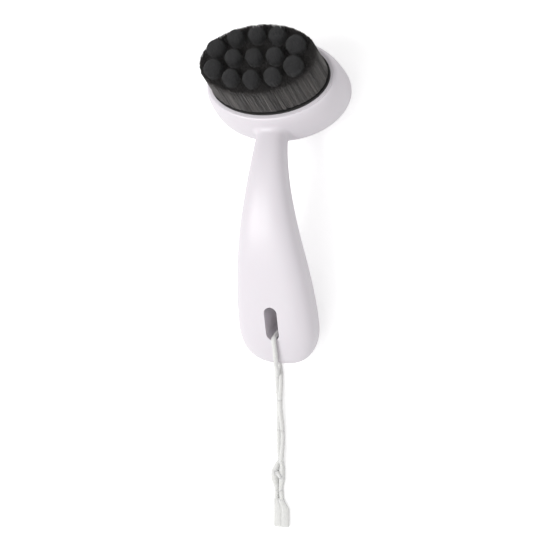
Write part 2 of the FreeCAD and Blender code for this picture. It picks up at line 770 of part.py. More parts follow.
def make_runs():
    """The doubled cord between the crossing and the knot, in three segments."""
    crossing, upper, middle, knot_start, _ = cord_joints()
    wide = size("run_half_width")
    high = size("run_half_height")
    gap = size("run_gap")
    segments = (
        # name, start, end, axis of the start's rounding, axis of the end's rounding, start before the joint
        ("cord_upper", crossing, upper, "level", "upright", high),
        ("cord_middle", upper, middle, "upright", "level", -wide - gap),
        ("cord_lower", middle, knot_start, "level", "flat", -high - gap),
    )
    runs = []
    for name, start, end, start_axis, end_axis, before in segments:
        end_radius = {"level": high, "upright": wide, "flat": -gap}[end_axis]
        first = set_back(start, end, -before)
        last = set_back(start, end, (end - start).Length + end_radius)
        runs.append(computed(name, round_bar(first, last, wide, high, start_axis, end_axis)))
    return runs


def make_knot():
    """The knot that holds the two strands together."""
    _, _, _, knot_start, knot_end = cord_joints()
    knot = doc.addObject("Part::Ellipsoid", "cord_knot")
    bind(knot, Radius1="dims.knot_half_height", Radius2="dims.knot_half_width",
         Radius3="dims.knot_length / 2")
    middle = (knot_start + knot_end) / 2
    knot.Placement = Placement(Vector(middle.x, middle.y, 0), Rotation())
    knot.setExpression("Placement.Base.z", "dims.knot_half_height")
    return knot


def make_tab():
    """The flat tab that closes the cord's two ends, with the short length of cord above it."""
    _, _, _, _, knot_end = cord_joints()
    high = size("run_half_height")
    wide = size("run_half_width")
    neck_end = knot_end + Vector(size("tab_wander"), -size("tab_neck"), 0)
    neck_start = set_back(knot_end, neck_end, 2 * size("run_gap"))
    neck_overlap = set_back(knot_end, neck_end, (neck_end - knot_end).Length + size("tab_corner"))
    neck = computed("tab_neck", round_bar(neck_start, neck_overlap, wide, high, "upright", "flat"))

    plate = doc.addObject("Part::Box", "tab_plate")
    bind(plate, Length="dims.tab_width", Width="dims.tab_length", Height="dims.tab_thickness")
    plate.Placement = Placement(neck_end - Vector(size("tab_width") / 2, size("tab_length"), 0), Rotation())
    plate.setExpression("Placement.Base.z", "0")
    doc.recompute()
    upright = [index for index, edge in enumerate(plate.Shape.Edges)
               if edge.BoundBox.ZLength > size("tab_thickness") / 2]
    rounded = doc.addObject("Part::Fillet", "tab_rounded")
    rounded.Base = plate
    rounded.Edges = [(index + 1, size("tab_corner"), size("tab_corner")) for index in upright]
    return join("cord_tab", rounded, neck)


# ---------------------------------------------------------------- build, check and write

def check_document():
    """Stop if any object failed to build."""
    for feature in doc.Objects:
        if "Invalid" in feature.State or "Error" in feature.State:
            raise ValueError(f"{feature.Name} did not build")


def write_parts(sub_parts):
    """Check every sub-part's shape and write it to its own file."""
    os.makedirs("parts", exist_ok=True)
    for sub_part in sub_parts:
        shape = sub_part.Shape
        if shape.isNull() or not shape.isValid() or not shape.Solids:
            raise ValueError(f"{sub_part.Label} has no valid solid")
        shape.exportStep(os.path.join("parts", f"{sub_part.Label}.step"))


sub_parts = make_shells() + [make_cup(), make_resin(), make_fibre_field()] + make_tufts()
sub_parts += [make_loop()] + make_runs() + [make_knot(), make_tab()]
doc.recompute()
check_document()
write_parts(sub_parts)
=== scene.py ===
import json
import math

import bpy
import numpy as np
from mathutils import Matrix, Vector
from mathutils.bvhtree import BVHTree


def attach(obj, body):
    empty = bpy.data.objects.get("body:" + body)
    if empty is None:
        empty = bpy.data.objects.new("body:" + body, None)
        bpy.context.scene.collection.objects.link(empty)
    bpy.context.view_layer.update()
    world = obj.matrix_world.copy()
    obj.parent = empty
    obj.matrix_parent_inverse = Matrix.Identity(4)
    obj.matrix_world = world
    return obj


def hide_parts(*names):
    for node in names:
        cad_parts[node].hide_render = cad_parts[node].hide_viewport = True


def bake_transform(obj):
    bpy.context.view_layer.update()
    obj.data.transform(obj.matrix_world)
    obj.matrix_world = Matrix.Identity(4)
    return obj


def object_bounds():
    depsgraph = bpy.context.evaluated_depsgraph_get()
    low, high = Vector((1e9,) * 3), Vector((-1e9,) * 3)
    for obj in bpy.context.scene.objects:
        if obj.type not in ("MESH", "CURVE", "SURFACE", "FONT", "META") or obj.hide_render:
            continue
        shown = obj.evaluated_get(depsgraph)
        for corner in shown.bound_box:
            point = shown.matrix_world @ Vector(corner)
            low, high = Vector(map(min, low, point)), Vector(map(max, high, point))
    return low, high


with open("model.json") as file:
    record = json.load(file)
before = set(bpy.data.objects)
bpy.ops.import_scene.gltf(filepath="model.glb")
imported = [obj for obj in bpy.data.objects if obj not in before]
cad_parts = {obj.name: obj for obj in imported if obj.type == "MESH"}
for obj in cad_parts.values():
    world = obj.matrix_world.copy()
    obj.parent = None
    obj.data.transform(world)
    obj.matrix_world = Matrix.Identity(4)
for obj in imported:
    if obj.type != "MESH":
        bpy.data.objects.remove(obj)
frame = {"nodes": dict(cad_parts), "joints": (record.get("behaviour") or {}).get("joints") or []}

cad_low, cad_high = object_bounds()

# ---------------------------------------------------------------- frame of the head
# The brush frame is read from the CAD nodes: +u to the right, +v away from the handle, +n along
# the fibres, with its origin at the middle of the bowl's lip.  Sizes below are in millimetres.

MM = 0.001
COLLAR_HEIGHT = 0.8          # how far the cup stands above the lip
TUFT_COUNT = 13


def node_points(name):
    """All vertices of a CAD node, in metres in the row frame."""
    mesh = frame["nodes"][name].data
    points = np.zeros(len(mesh.vertices) * 3)
    mesh.vertices.foreach_get("co", points)
    return points.reshape(-1, 3)


def middle_of(name):
    points = node_points(name)
    return (points.min(0) + points.max(0)) / 2


def head_frame():
    """Origin and axes of the brush frame."""
    far = middle_of("massage_tuft_06")
    near = middle_of("massage_tuft_08")
    v_axis = (far - near) / np.linalg.norm(far - near)
    u_axis = np.array([1.0, 0.0, 0.0])
    n_axis = np.cross(u_axis, v_axis)
    cup = node_points("bristle_cup")
    lip = (cup @ n_axis).max() - COLLAR_HEIGHT * MM
    along = middle_of("massage_tuft_07") @ v_axis
    return v_axis * along + n_axis * lip, u_axis, v_axis, n_axis


HEAD_ORIGIN, HEAD_U, HEAD_V, HEAD_N = head_frame()
HEAD_AXES = np.array([HEAD_U, HEAD_V, HEAD_N])


def to_row(points):
    """Brush-frame millimetres to row-frame metres."""
    return HEAD_ORIGIN + np.asarray(points, float) * MM @ HEAD_AXES


def to_head(points):
    """Row-frame metres to brush-frame millimetres."""
    return (np.asarray(points, float) - HEAD_ORIGIN) @ HEAD_AXES.T / MM


# ---------------------------------------------------------------- materials

def new_material(name):
    material = bpy.data.materials.new(name)
    material.use_nodes = True
    tree = material.node_tree
    shader = tree.nodes["Principled BSDF"]
    return material, tree, shader


def add_node(tree, kind, **settings):
    node = tree.nodes.new(kind)
    for key, value in settings.items():
        if key in node.inputs:
            node.inputs[key].default_value = value
        else:
            setattr(node, key, value)
    return node


def object_place(tree):
    """Coordinates in metres in the row frame, before any pose."""
    return add_node(tree, "ShaderNodeTexCoord").outputs["Object"]


def noise(tree, place, scale, detail=3.0, roughness=0.5):
    node = add_node(tree, "ShaderNodeTexNoise", Scale=scale, Detail=detail, Roughness=roughness)
    tree.links.new(place, node.inputs["Vector"])
    return node.outputs["Fac"]


def ramp(tree, value, stops):
    node = add_node(tree, "ShaderNodeValToRGB")
    elements = node.color_ramp.elements
    while len(elements) < len(stops):
        elements.new(0.5)
    for element, (position, colour) in zip(elements, stops):
        element.position = position
        element.color = (*colour, 1.0) if len(colour) == 3 else colour
    tree.links.new(value, node.inputs["Fac"])
    return node.outputs["Color"]


def grey_ramp(tree, value, low, high):
    return ramp(tree, value, [(0.25, (low,) * 3), (0.75, (high,) * 3)])


def bump(tree, shader, height, strength, distance):
    node = add_node(tree, "ShaderNodeBump", Strength=strength, Distance=distance)
    tree.links.new(height, node.inputs["Height"])
    tree.links.new(node.outputs["Normal"], shader.inputs["Normal"])


SHELL_LIGHT = (0.715, 0.680, 0.718)
SHELL_DARK = (0.705, 0.668, 0.708)
CUP_LIGHT = (0.016, 0.015, 0.015)
CUP_DARK = (0.008, 0.008, 0.008)
RESIN_LIGHT = (0.04, 0.036, 0.03)
RESIN_DARK = (0.02, 0.018, 0.016)


def shell_material():
    """Glossy moulded plastic: near white with a faint lavender tint and fine handling haze."""
    material, tree, shader = new_material("shell_gloss")
    place = object_place(tree)
    haze = ramp(tree, noise(tree, place, 35.0, detail=1.0), [(0.2, SHELL_DARK), (0.8, SHELL_LIGHT)])
    tree.links.new(haze, shader.inputs["Base Color"])
    tree.links.new(grey_ramp(tree, noise(tree, place, 160.0, detail=2.0), 0.36, 0.42),
                   shader.inputs["Roughness"])
    shader.inputs["Subsurface Weight"].default_value = 0.1
    shader.inputs["Subsurface Radius"].default_value = (1.0, 0.75, 0.8)
    shader.inputs["Subsurface Scale"].default_value = 0.003
    shader.inputs["Coat Weight"].default_value = 0.08
    shader.inputs["Coat Roughness"].default_value = 0.25
    bump(tree, shader, noise(tree, place, 90.0, detail=0.0), 0.03, 0.0002)
    return material


def cup_material():
    """Black moulded collar with a fine satin texture."""
    material, tree, shader = new_material("cup_black")
    place = object_place(tree)
    grain = ramp(tree, noise(tree, place, 400.0), [(0.3, CUP_DARK), (0.7, CUP_LIGHT)])
    tree.links.new(grain, shader.inputs["Base Color"])
    tree.links.new(grey_ramp(tree, noise(tree, place, 900.0), 0.42, 0.6), shader.inputs["Roughness"])
    bump(tree, shader, noise(tree, place, 2500.0), 0.15, 0.00005)
    return material


def resin_material():
    material, tree, shader = new_material("resin_dull")
    place = object_place(tree)
    cloud = ramp(tree, noise(tree, place, 300.0), [(0.3, RESIN_DARK), (0.7, RESIN_LIGHT)])
    tree.links.new(cloud, shader.inputs["Base Color"])
    shader.inputs["Roughness"].default_value = 0.55
    bump(tree, shader, noise(tree, place, 900.0), 0.3, 0.0001)
    return material


def filament_material(name, dark, light, roughness):
    """Fibre whose tone varies at random from strand to strand, with painted shade along each strand and
    inside the bundle (attribute "shade").
    """
    material, tree, shader = new_material(name)
    place = object_place(tree)
    shade = add_node(tree, "ShaderNodeAttribute", attribute_name="shade")
    tree.links.new(ramp(tree, shade.outputs["Fac"], [(0.0, dark), (1.0, light)]), shader.inputs["Base Color"])
    tree.links.new(grey_ramp(tree, noise(tree, place, 1500.0), roughness - 0.08, roughness + 0.08),
                   shader.inputs["Roughness"])
    shader.inputs["Specular IOR Level"].default_value = 0.3
    shader.inputs["Sheen Weight"].default_value = 0.25
    shader.inputs["Sheen Roughness"].default_value = 0.5
    bump(tree, shader, noise(tree, place, 6000.0), 0.2, 0.00003)
    return material


CORD_LIGHT = (0.70, 0.70, 0.685)
CORD_DARK = (0.65, 0.65, 0.635)


def cord_material(name="cord_yarn", scale=900.0):
    """Soft off-white yarn with fine fuzz and a faint random mottle."""
    material, tree, shader = new_material(name)
    place = object_place(tree)
    tree.links.new(ramp(tree, noise(tree, place, scale, detail=6.0), [(0.25, CORD_DARK), (0.62, CORD_LIGHT)]),
                   shader.inputs["Base Color"])
    shader.inputs["Roughness"].default_value = 0.85
    shader.inputs["Sheen Weight"].default_value = 0.4
    shader.inputs["Subsurface Weight"].default_value = 0.5
    shader.inputs["Subsurface Radius"].default_value = (1.0, 1.0, 0.95)
    shader.inputs["Subsurface Scale"].default_value = 0.0012
    bump(tree, shader, noise(tree, place, 3.2 * scale, detail=4.0), 0.35, 0.00008)
    return material


SHELL = shell_material()
CUP = cup_material()
RESIN = resin_material()
FIBRE = filament_material("fibre_charcoal", (0.018, 0.016, 0.016), (0.185, 0.168, 0.158), 0.55)
TUFT = filament_material("tuft_charcoal", (0.010, 0.010, 0.011), (0.062, 0.062, 0.064), 0.7)
CORD = cord_material()


def set_material(obj, material):
    obj.data.materials.clear()
    obj.data.materials.append(material)
    for polygon in obj.data.polygons:
        polygon.material_index = 0


# ---------------------------------------------------------------- mesh helpers

def new_object(name, vertices, faces, material, smooth=True):
    mesh = bpy.data.meshes.new(name)
    mesh.from_pydata(np.asarray(vertices, float).tolist(), [], [tuple(map(int, face)) for face in faces])
    mesh.validate()
    obj = bpy.data.objects.new(name, mesh)
    bpy.context.scene.collection.objects.link(obj)
    mesh.materials.append(material)
    if smooth:
        mesh.polygons.foreach_set("use_smooth", [True] * len(mesh.polygons))
    return obj


def store_shade(obj, values):
    attribute = obj.data.attributes.new("shade", "FLOAT", "POINT")
    attribute.data.foreach_set("value", np.asarray(values, np.float32))


def unit(vectors):
    """Vectors divided by their lengths, along the last axis."""
    vectors = np.asarray(vectors, float)
    return vectors / np.linalg.norm(vectors, axis=-1, keepdims=True)


class MeshParts:
    """Collects vertices, faces and shades of many small parts into one mesh."""

    def __init__(self):
        self.vertices = []
        self.faces = []
        self.shades = []
        self.count = 0

    def add(self, vertices, faces, shades=None):
        vertices = np.asarray(vertices, float).reshape(-1, 3)
        self.vertices.append(vertices)
        self.faces.extend(tuple(self.count + index for index in face) for face in faces)
        if shades is not None:
            self.shades.append(np.asarray(shades, float).reshape(-1))
        self.count += len(vertices)

    def make(self, name, material, place=None, smooth=True):
        vertices = np.concatenate(self.vertices)
        if place is not None:
            vertices = place(vertices)
        obj = new_object(name, vertices, self.faces, material, smooth)
        if self.shades:
            store_shade(obj, np.concatenate(self.shades))
        return obj


def tube_faces(steps, sides):
    """Faces of an open tube whose rings follow one another."""
    faces = []
    for step in range(steps - 1):
        for corner in range(sides):
            following = (corner + 1) % sides
            faces.append((step * sides + corner, step * sides + following,
                          (step + 1) * sides + following, (step + 1) * sides + corner))
    return faces


def add_filaments(parts, paths, radii, shades, sides=3, end_scale=0.6, tip_length=0.7):
    """Short tubes with closed tips along paths of equal length.

    paths has the shape (filaments, points, 3), radii is per filament and shades per path point.
    """
    count, steps, _ = paths.shape
    tangent = unit(paths[:, -1] - paths[:, 0])
    helper = np.where(np.abs(tangent[:, :1]) < 0.8, [[1.0, 0.0, 0.0]], [[0.0, 1.0, 0.0]])
    side = unit(np.cross(tangent, helper))
    other = np.cross(tangent, side)
    spin = RANDOM.uniform(0, 2 * math.pi, count)
    angles = spin[:, None] + np.arange(sides) * 2 * math.pi / sides
    ring = side[:, None] * np.cos(angles)[..., None] + other[:, None] * np.sin(angles)[..., None]
    taper = np.ones(steps)
    taper[-1] = end_scale
    rings = paths[:, :, None] + ring[:, None] * (radii[:, None] * taper)[..., None, None]
    tips = paths[:, -1] + tangent * (radii * tip_length)[:, None]
    block = steps * sides + 1
    vertices = np.concatenate([rings.reshape(count, block - 1, 3), tips[:, None]], axis=1)
    ring_shades = np.repeat(shades[:, :, None], sides, axis=2).reshape(count, block - 1)
    all_shades = np.concatenate([ring_shades, shades[:, -1:]], axis=1)
    last = (steps - 1) * sides
    pattern = tube_faces(steps, sides)
    pattern += [(last + corner, last + (corner + 1) % sides, block - 1) for corner in range(sides)]
    pattern.append(tuple(reversed(range(sides))))
    faces = []
    for filament in range(count):
        faces += [tuple(filament * block + index for index in face) for face in pattern]
    parts.add(vertices, faces, all_shades)


def turned_solid(profile, half_length, half_width, sides):
    """A closed solid of stacked ovals; profile is (scale, height) from the bottom up."""
    vertices = []
    for scale, height in profile:
        for corner in range(sides):
            angle = 2 * math.pi * corner / sides
            along = half_length * scale * math.cos(angle)
            across = half_width * scale * math.sin(angle)
            vertices.append((along, across, height))
    faces = tube_faces(len(profile), sides)
    faces.append(tuple(reversed(range(sides))))
    faces.append(tuple(range((len(profile) - 1) * sides, len(profile) * sides)))
    return vertices, faces


# ---------------------------------------------------------------- shells, cup and resin

for node in ("front_shell", "rear_shell"):
    set_material(frame["nodes"][node], SHELL)
set_material(frame["nodes"]["bristle_cup"], CUP)
set_material(frame["nodes"]["bonding_resin"], RESIN)

# ---------------------------------------------------------------- fibre head

FIBRE_HEIGHT = 17.0          # top of the short fibre above the lip
TUFT_HEIGHT = 21.0
TUFT_DOME = 0.65             # share of a tuft's radius that its rounded edge takes
ROOT_DEPTH = 2.6             # fibre roots below the lip
FIELD_BASE = np.array([23.2, 14.0])
FIELD_TOP = np.array([23.3, 14.3])
FIELD_LEAN = np.array([0.5, 0.4])     # how far the short fibre leans to the right and away at its top
FIELD_SPREAD = 0.85          # how far the fibre bulges out over the collar
SPREAD_START = 0.3           # the bulge starts this far below the collar's top
SPREAD_RISE = 1.3            # height over which the bulge grows
SPREAD_FULL = 1.0            # height above the collar where it starts to settle
CORE_INSET = 1.3             # the dark core's distance inside the fibre's side
CORE_DROP = 1.4              # and below the fibre's top
SIDE_STEPS = 10              # points along each filament of the side
SIDE_DROP = 0.25             # the side filaments end this far below the top
SIDE_LAYERS = (              # distance inside the side, filaments, clumps, share of painted shade darkening the deeper layers
    (1.15, 620, 110, 0.45),
    (0.75, 700, 140, 0.25),
    (0.38, 760, 170, 0.08),
    (0.08, 620, 190, 0.0))
TOP_PITCH = 0.44             # distance between fibre ends on the top
TOP_CLEARANCE = 0.12         # distance of the fibre ends from a tuft
TOP_LENGTH = 2.0             # how much of each fibre is modelled there
TUFT_PITCH = 0.33            # distance between the filaments of a tuft
TUFT_CROWN = 0.25            # rise of a tuft's top towards its middle
TUFT_SPLAY = 0.02            # share by which a tuft's outer filaments lean out
TUFT_LENGTH = 2.2            # start of a tuft's filaments below the fibre's top
TUFT_CORE_DROP = 2.0         # its core is straight up to this far below the fibre's top
TUFT_CORE_INSET = 0.3        # the core's distance inside the tuft's side
TUFT_CORE_COVER = 0.35       # and below its top
RANDOM = np.random.default_rng(668)


def tuft_table():
    """Centre (u, v) and radius in millimetres of every tuft, read from its CAD node."""
    table = {}
    for number in range(1, TUFT_COUNT + 1):
        name = f"massage_tuft_{number:02d}"
        points = to_head(node_points(name))
        low, high = points.min(0), points.max(0)
        table[name] = ((low + high)[:2] / 2, (high - low)[0] / 2)
    return table


TUFTS = tuft_table()


def field_share(height):
    return (height + ROOT_DEPTH) / (FIBRE_HEIGHT + ROOT_DEPTH)


def collar_spread(height):
    """How far the fibre bulges out over the collar, at a height above the lip."""
    above = height - COLLAR_HEIGHT
    rise = np.clip((above + SPREAD_START) / SPREAD_RISE, 0, 1)
    settle = np.clip((above - SPREAD_FULL) / (FIBRE_HEIGHT - COLLAR_HEIGHT - SPREAD_FULL), 0, 1)
    return FIELD_SPREAD * rise ** 2 * (3 - 2 * rise) * (1 - settle)


def field_point(angle, inset, height):
    """A point near the side of the short fibre; inset is its distance inside the side."""
    share = field_share(height)[..., None]
    half = FIELD_BASE + (FIELD_TOP - FIELD_BASE) * share - np.asarray(inset)[..., None]
    half = half + collar_spread(height)[..., None]
    direction = np.stack([np.cos(angle), np.sin(angle)], axis=-1)
    flat = half * direction + FIELD_LEAN * share ** 1.5
    return np.concatenate([flat, height[..., None]], axis=-1)


def clump_offsets(angle, clumps):
    """For each angle, its distance to the nearest clump's middle, and that clump's number."""
    width = 2 * math.pi / clumps
    shift = RANDOM.uniform(-0.35, 0.35, clumps)
    number = np.floor(angle / width).astype(int) % clumps
    middle = (np.floor(angle / width) + 0.5 + shift[number]) * width
    return middle - angle, number


def add_side_layer(parts, inset, filaments, clumps, painted_shade):
    """One ring of upright filaments, drawn together into clumps towards their tips."""
    angle = np.sort(RANDOM.uniform(0, 2 * math.pi, filaments))
    pull, number = clump_offsets(angle, clumps)
    clump_shade = RANDOM.beta(1.6, 2.6, clumps)
    clump_lean = RANDOM.normal(0, 0.010, clumps)
    top = FIBRE_HEIGHT - SIDE_DROP + RANDOM.normal(0, 0.16, filaments)
    at_collar = np.linspace(0.16, 0.3, 4)
    share = np.concatenate([[0.0], at_collar, np.linspace(0.42, 1, SIDE_STEPS - 5)])
    heights = -ROOT_DEPTH + (top[:, None] + ROOT_DEPTH) * share
    gather = share ** 2 * RANDOM.uniform(0.15, 0.75, filaments)[:, None]
    angles = angle[:, None] + pull[:, None] * gather + clump_lean[number][:, None] * share ** 1.5
    insets = inset + RANDOM.uniform(-0.12, 0.12, filaments)[:, None]
    insets = insets + RANDOM.normal(0, 0.10, filaments)[:, None] * share ** 2
    paths = field_point(angles, insets, heights)
    # Random tone per clump and filament, times painted shade: darker at each filament's root and tip, and
    # darker on the deeper layers
    shade = clump_shade[number] * 0.75 + RANDOM.uniform(0, 0.25, filaments)
    shades = shade[:, None] * (0.55 + 0.45 * np.sin(math.pi * share ** 0.8)) * (1 - painted_shade)
    add_filaments(parts, paths, RANDOM.uniform(0.085, 0.125, filaments), shades, sides=3)


def hex_places(half_length, half_width, pitch):
    """Jittered points of a triangular grid inside an oval."""
    rows = int(half_width / (pitch * 0.866)) + 1
    columns = int(half_length / pitch) + 1
    places = []
    for row in range(-rows, rows + 1):
        for column in range(-columns, columns + 1):
            places.append(((column + 0.5 * (row % 2)) * pitch, row * pitch * 0.866))
    places = np.array(places) + RANDOM.uniform(-0.22, 0.22, (len(places), 2)) * pitch
    inside = (places[:, 0] / half_length) ** 2 + (places[:, 1] / half_width) ** 2 < 1
    return places[inside]


def add_field_top(parts):
    """Ends of the short fibre between and around the tufts."""
    places = hex_places(*(FIELD_TOP - 0.15), TOP_PITCH) + FIELD_LEAN * 0.9
    for middle, radius in TUFTS.values():
        places = places[np.hypot(*(places - middle).T) > radius + TOP_CLEARANCE]
    count = len(places)
    top = FIBRE_HEIGHT + RANDOM.normal(0, 0.13, count) - 0.1
    start = np.column_stack([places, np.full(count, FIBRE_HEIGHT - TOP_LENGTH)])
    end = np.column_stack([places + RANDOM.normal(0, 0.12, (count, 2)), top])
    paths = np.stack([start, (start + end) / 2, end], axis=1)
    # Painted shade: the fibre ends between the tufts are much darker than the side, and darker still towards
    # their roots
    shade = RANDOM.uniform(0.0, 0.22, count)
    shades = shade[:, None] * np.array([0.3, 0.7, 1.0])
    add_filaments(parts, paths, RANDOM.uniform(0.12, 0.17, count), shades, sides=4)


def make_fibre_field():
    """The short fibre: upright clumped filaments round the side and their ends on the top."""
    parts = MeshParts()
    profile = [(1.0, height) for height in np.linspace(-ROOT_DEPTH, FIBRE_HEIGHT - CORE_DROP, 7)]
    vertices, faces = turned_solid(profile, *(FIELD_BASE - CORE_INSET), 96)
    vertices = np.array(vertices)
    vertices[:, :2] += field_share(vertices[:, 2])[:, None] ** 1.5 * FIELD_LEAN
    # The core takes the darkest fibre colour: painted shade inside the fibre
    parts.add(vertices, faces, np.zeros(len(vertices)))
    for layer in SIDE_LAYERS:
        add_side_layer(parts, *layer)
    add_field_top(parts)
    obj = parts.make("fibre_field", FIBRE, to_row)
    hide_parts("bristle_field")
    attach(obj, "brush")


def tuft_top(distance, radius):
    """Height of a tuft's rounded top at a distance from its middle."""
    dome = TUFT_DOME * radius
    beyond = np.clip((distance - (radius - dome)) / dome, 0, 1)
    crown = TUFT_CROWN * (1 - np.clip(distance / radius, 0, 1) ** 2)
    return TUFT_HEIGHT - TUFT_CROWN - dome * (1 - np.sqrt(1 - beyond ** 2)) + crown


def make_tuft(name, middle, radius):
    """A massage tuft: a bundle of upright filaments with a domed velvety top."""
    parts = MeshParts()
    profile = [(1.0, -ROOT_DEPTH), (1.0, FIBRE_HEIGHT - TUFT_CORE_DROP)]
    core = radius - TUFT_CORE_INSET
    for distance in np.linspace(1.0, 0.05, 10):
        profile.append((distance, float(tuft_top(distance * core, core)) - TUFT_CORE_COVER))
    vertices, faces = turned_solid(profile, core, core, 40)
    # The core takes a dark fixed value: painted shade inside the tuft
    parts.add(vertices, faces, np.full(len(vertices), 0.12))
    places = hex_places(radius - 0.06, radius - 0.06, TUFT_PITCH)
    distance = np.hypot(*places.T)
    count = len(places)
    top = tuft_top(distance, radius) + RANDOM.normal(0, 0.045, count)
    splay = 1 + TUFT_SPLAY * (distance / radius)
    low = np.full(count, FIBRE_HEIGHT - TUFT_LENGTH)
    start = np.column_stack([places, low])
    bend = np.column_stack([places * (1 + 0.4 * (splay - 1))[:, None], (low + top) / 2])
    end = np.column_stack([places * splay[:, None] + RANDOM.normal(0, 0.02, (count, 2)), top])
    paths = np.stack([start, bend, end], axis=1)
    shade = RANDOM.uniform(0.3, 0.75, count) + RANDOM.uniform(-0.06, 0.06)
    # Random tone per filament, times painted shade that darkens it towards the root
    shades = shade[:, None] * np.array([0.15, 0.6, 1.0])
    add_filaments(parts, paths, RANDOM.uniform(0.145, 0.185, count), shades, sides=5, end_scale=0.72,
                  tip_length=0.35)
    obj = parts.make(f"{name}_filaments", TUFT, lambda points: to_row(points + [*middle, 0]))
    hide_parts(name)
    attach(obj, "brush")


make_fibre_field()
for tuft_name, (tuft_middle, tuft_radius) in TUFTS.items():
    make_tuft(tuft_name, tuft_middle, tuft_radius)

# ---------------------------------------------------------------- cord

STRAND_RADIUS = 0.98
STRAND_LIFT = 1.05           # distance of a strand's centre from the handle's skin
TURN_RADIUS = 1.5            # radius of a strand's turn over the slot's edge
SLOT_HALF_WIDTH = 2.7
SLOT_OFFSET = 0.5            # the loop lies this far to the right of the slot's middle
FRONT_BOW = 1.55             # how far each strand of the loop curves to the right on its way
REAR_BOW = -2.4
PROFILE_STEP = 0.8           # the handle's skin is felt at this distance
PROFILE_REACH = 17.0         # and as far as this from the slot's end
SWING_ANGLES = range(0, 31, 6)        # degrees at which the skin under a strand is felt
BESIDE = 0.90                # distance of each strand from the doubled cord's middle
PLIES = 3
PLY_PITCH = 7.0
GROOVE_DEPTH = 0.08          # share of the strand's radius
GROOVE_WIDTH = 0.16          # share of a ply's width
STRAND_SIDES = 30
PATH_STEP = 0.35
RUN_STEPS = 12               # points of each strand between two joints
RUN_WIDTH_SHARE = 0.97       # the strands lie this close across
RUN_LIFT_SHARE = 0.98        # and this close in height, so that they press on each other
TWIST_LEAST = 8              # degrees
TWIST_RANGE = 44
TWIST_LENGTH = 26.0          # the twist comes and goes over this length of cord
TABLE_GAP = 0.02             # lowest yarn above the table


def joint_place(name):
    """Point (millimetres) and axis of a joint, in the row frame."""
    for joint in frame["joints"]:
        if joint["name"] == name:
            return np.array(joint["pos_m"]) / MM, unit(joint["axis"])
    raise ValueError(name)


TURN_POINT, TAIL_OUT = joint_place("loop_swing")
CROSSING = joint_place("cord_lift")[0]
UPPER_END = joint_place("cord_swing")[0]
MIDDLE_END = joint_place("cord_bend")[0]
TAB_POINT = joint_place("tab_swing")[0]
TAIL_DOWN = np.cross(np.array([1.0, 0.0, 0.0]), TAIL_OUT)
TAIL_DOWN = TAIL_DOWN if TAIL_DOWN[1] < 0 else -TAIL_DOWN


def skin_tree(names):
    """A tree for casting rays at the CAD shells."""
    vertices, faces = [], []
    for name in names:
        mesh = frame["nodes"][name].data
        offset = len(vertices)
        vertices += [vertex.co / MM for vertex in mesh.vertices]
        faces += [[offset + index for index in polygon.vertices] for polygon in mesh.polygons]
    return BVHTree.FromPolygons(vertices, faces)


SKIN = skin_tree(("front_shell", "rear_shell"))


def skin_height(reach, angle, side):
    """Height of the handle's skin over its middle, at a reach and swing angle from the slot's end."""
    far = 40.0
    along = TAIL_DOWN * math.cos(angle) + np.array([1.0, 0.0, 0.0]) * math.sin(angle)
    foot = TURN_POINT + along * reach
    hit = SKIN.ray_cast(Vector(foot + TAIL_OUT * side * far), Vector(-TAIL_OUT * side))
    if hit[0] is None:
        return 0.0
    return max(float((np.array(hit[0]) - TURN_POINT) @ TAIL_OUT) * side, 0.0)


def swept_height(reach, side):
    """Greatest skin height under a strand as it swings to either side."""
    return max(skin_height(reach, math.radians(angle), side) for angle in SWING_ANGLES)


def taut(points):
    """The points that a string pulled tight over all of them would touch."""
    kept = []
    for reach, height in points:
        while len(kept) > 1:
            (reach_1, height_1), (reach_2, height_2) = kept[-2:]
            if (height_2 - height_1) * (reach - reach_1) > (height - height_1) * (reach_2 - reach_1):
                break
            kept.pop()
        kept.append((reach, height))
    return kept


def loop_profile(side):
    """Reach and height of a strand's centre from the slot's end to the crossing."""
    edge = skin_height(SLOT_HALF_WIDTH + 0.3, 0, side)
    inset = (TURN_RADIUS - STRAND_LIFT) / math.sqrt(2)
    middle_reach = SLOT_HALF_WIDTH + inset
    middle_height = edge - inset
    inside = [(middle_reach - TURN_RADIUS, middle_height * share) for share in (0.0, 0.25, 0.5, 0.75)]
    over = []
    for step in range(7):
        angle = 0.5 * math.pi * step / 6
        turn_reach = middle_reach - TURN_RADIUS * math.cos(angle)
        over.append((turn_reach, middle_height + TURN_RADIUS * math.sin(angle)))
    half_step = PROFILE_STEP / 2
    for reach in np.arange(middle_reach + PROFILE_STEP, PROFILE_REACH, PROFILE_STEP):
        here = swept_height(reach, side)
        fall = (swept_height(reach - half_step, side) - swept_height(reach + half_step, side)) / PROFILE_STEP
        length = math.hypot(1, fall)
        if here > 0:
            over.append((reach + STRAND_LIFT * fall / length, here + STRAND_LIFT / length))
    end = CROSSING - TURN_POINT
    end_place = (float(end @ TAIL_DOWN), float(side * (end @ TAIL_OUT)))
    over = taut(sorted(over, key=lambda place: place[0]) + [end_place])
    last = np.array(over[-2])
    between = [tuple(last + (np.array(end_place) - last) * share) for share in (0.3, 0.6)]
    return inside + over[:-1] + between + [end_place]


def smooth_path(points, step=PATH_STEP, rounds=2):
    """The points joined, resampled at equal steps and smoothed a little."""
    points = np.asarray(points, float)
    for count in range(rounds + 1):
        lengths = np.concatenate([[0], np.cumsum(np.linalg.norm(np.diff(points, axis=0), axis=1))])
        places = np.linspace(0, lengths[-1], max(int(lengths[-1] / step), 4))
        points = np.column_stack([np.interp(places, lengths, points[:, axis]) for axis in range(3)])
        if count < rounds:
            inner = points[1:-1] * 0.5 + (points[:-2] + points[2:]) * 0.25
            points = np.concatenate([points[:1], inner, points[-1:]])
    return points


def run_twist(distance):
    """Angle by which the two strands of the doubled cord are turned about each other."""
    return math.radians(TWIST_LEAST + TWIST_RANGE * math.sin(distance / TWIST_LENGTH * math.pi) ** 2)


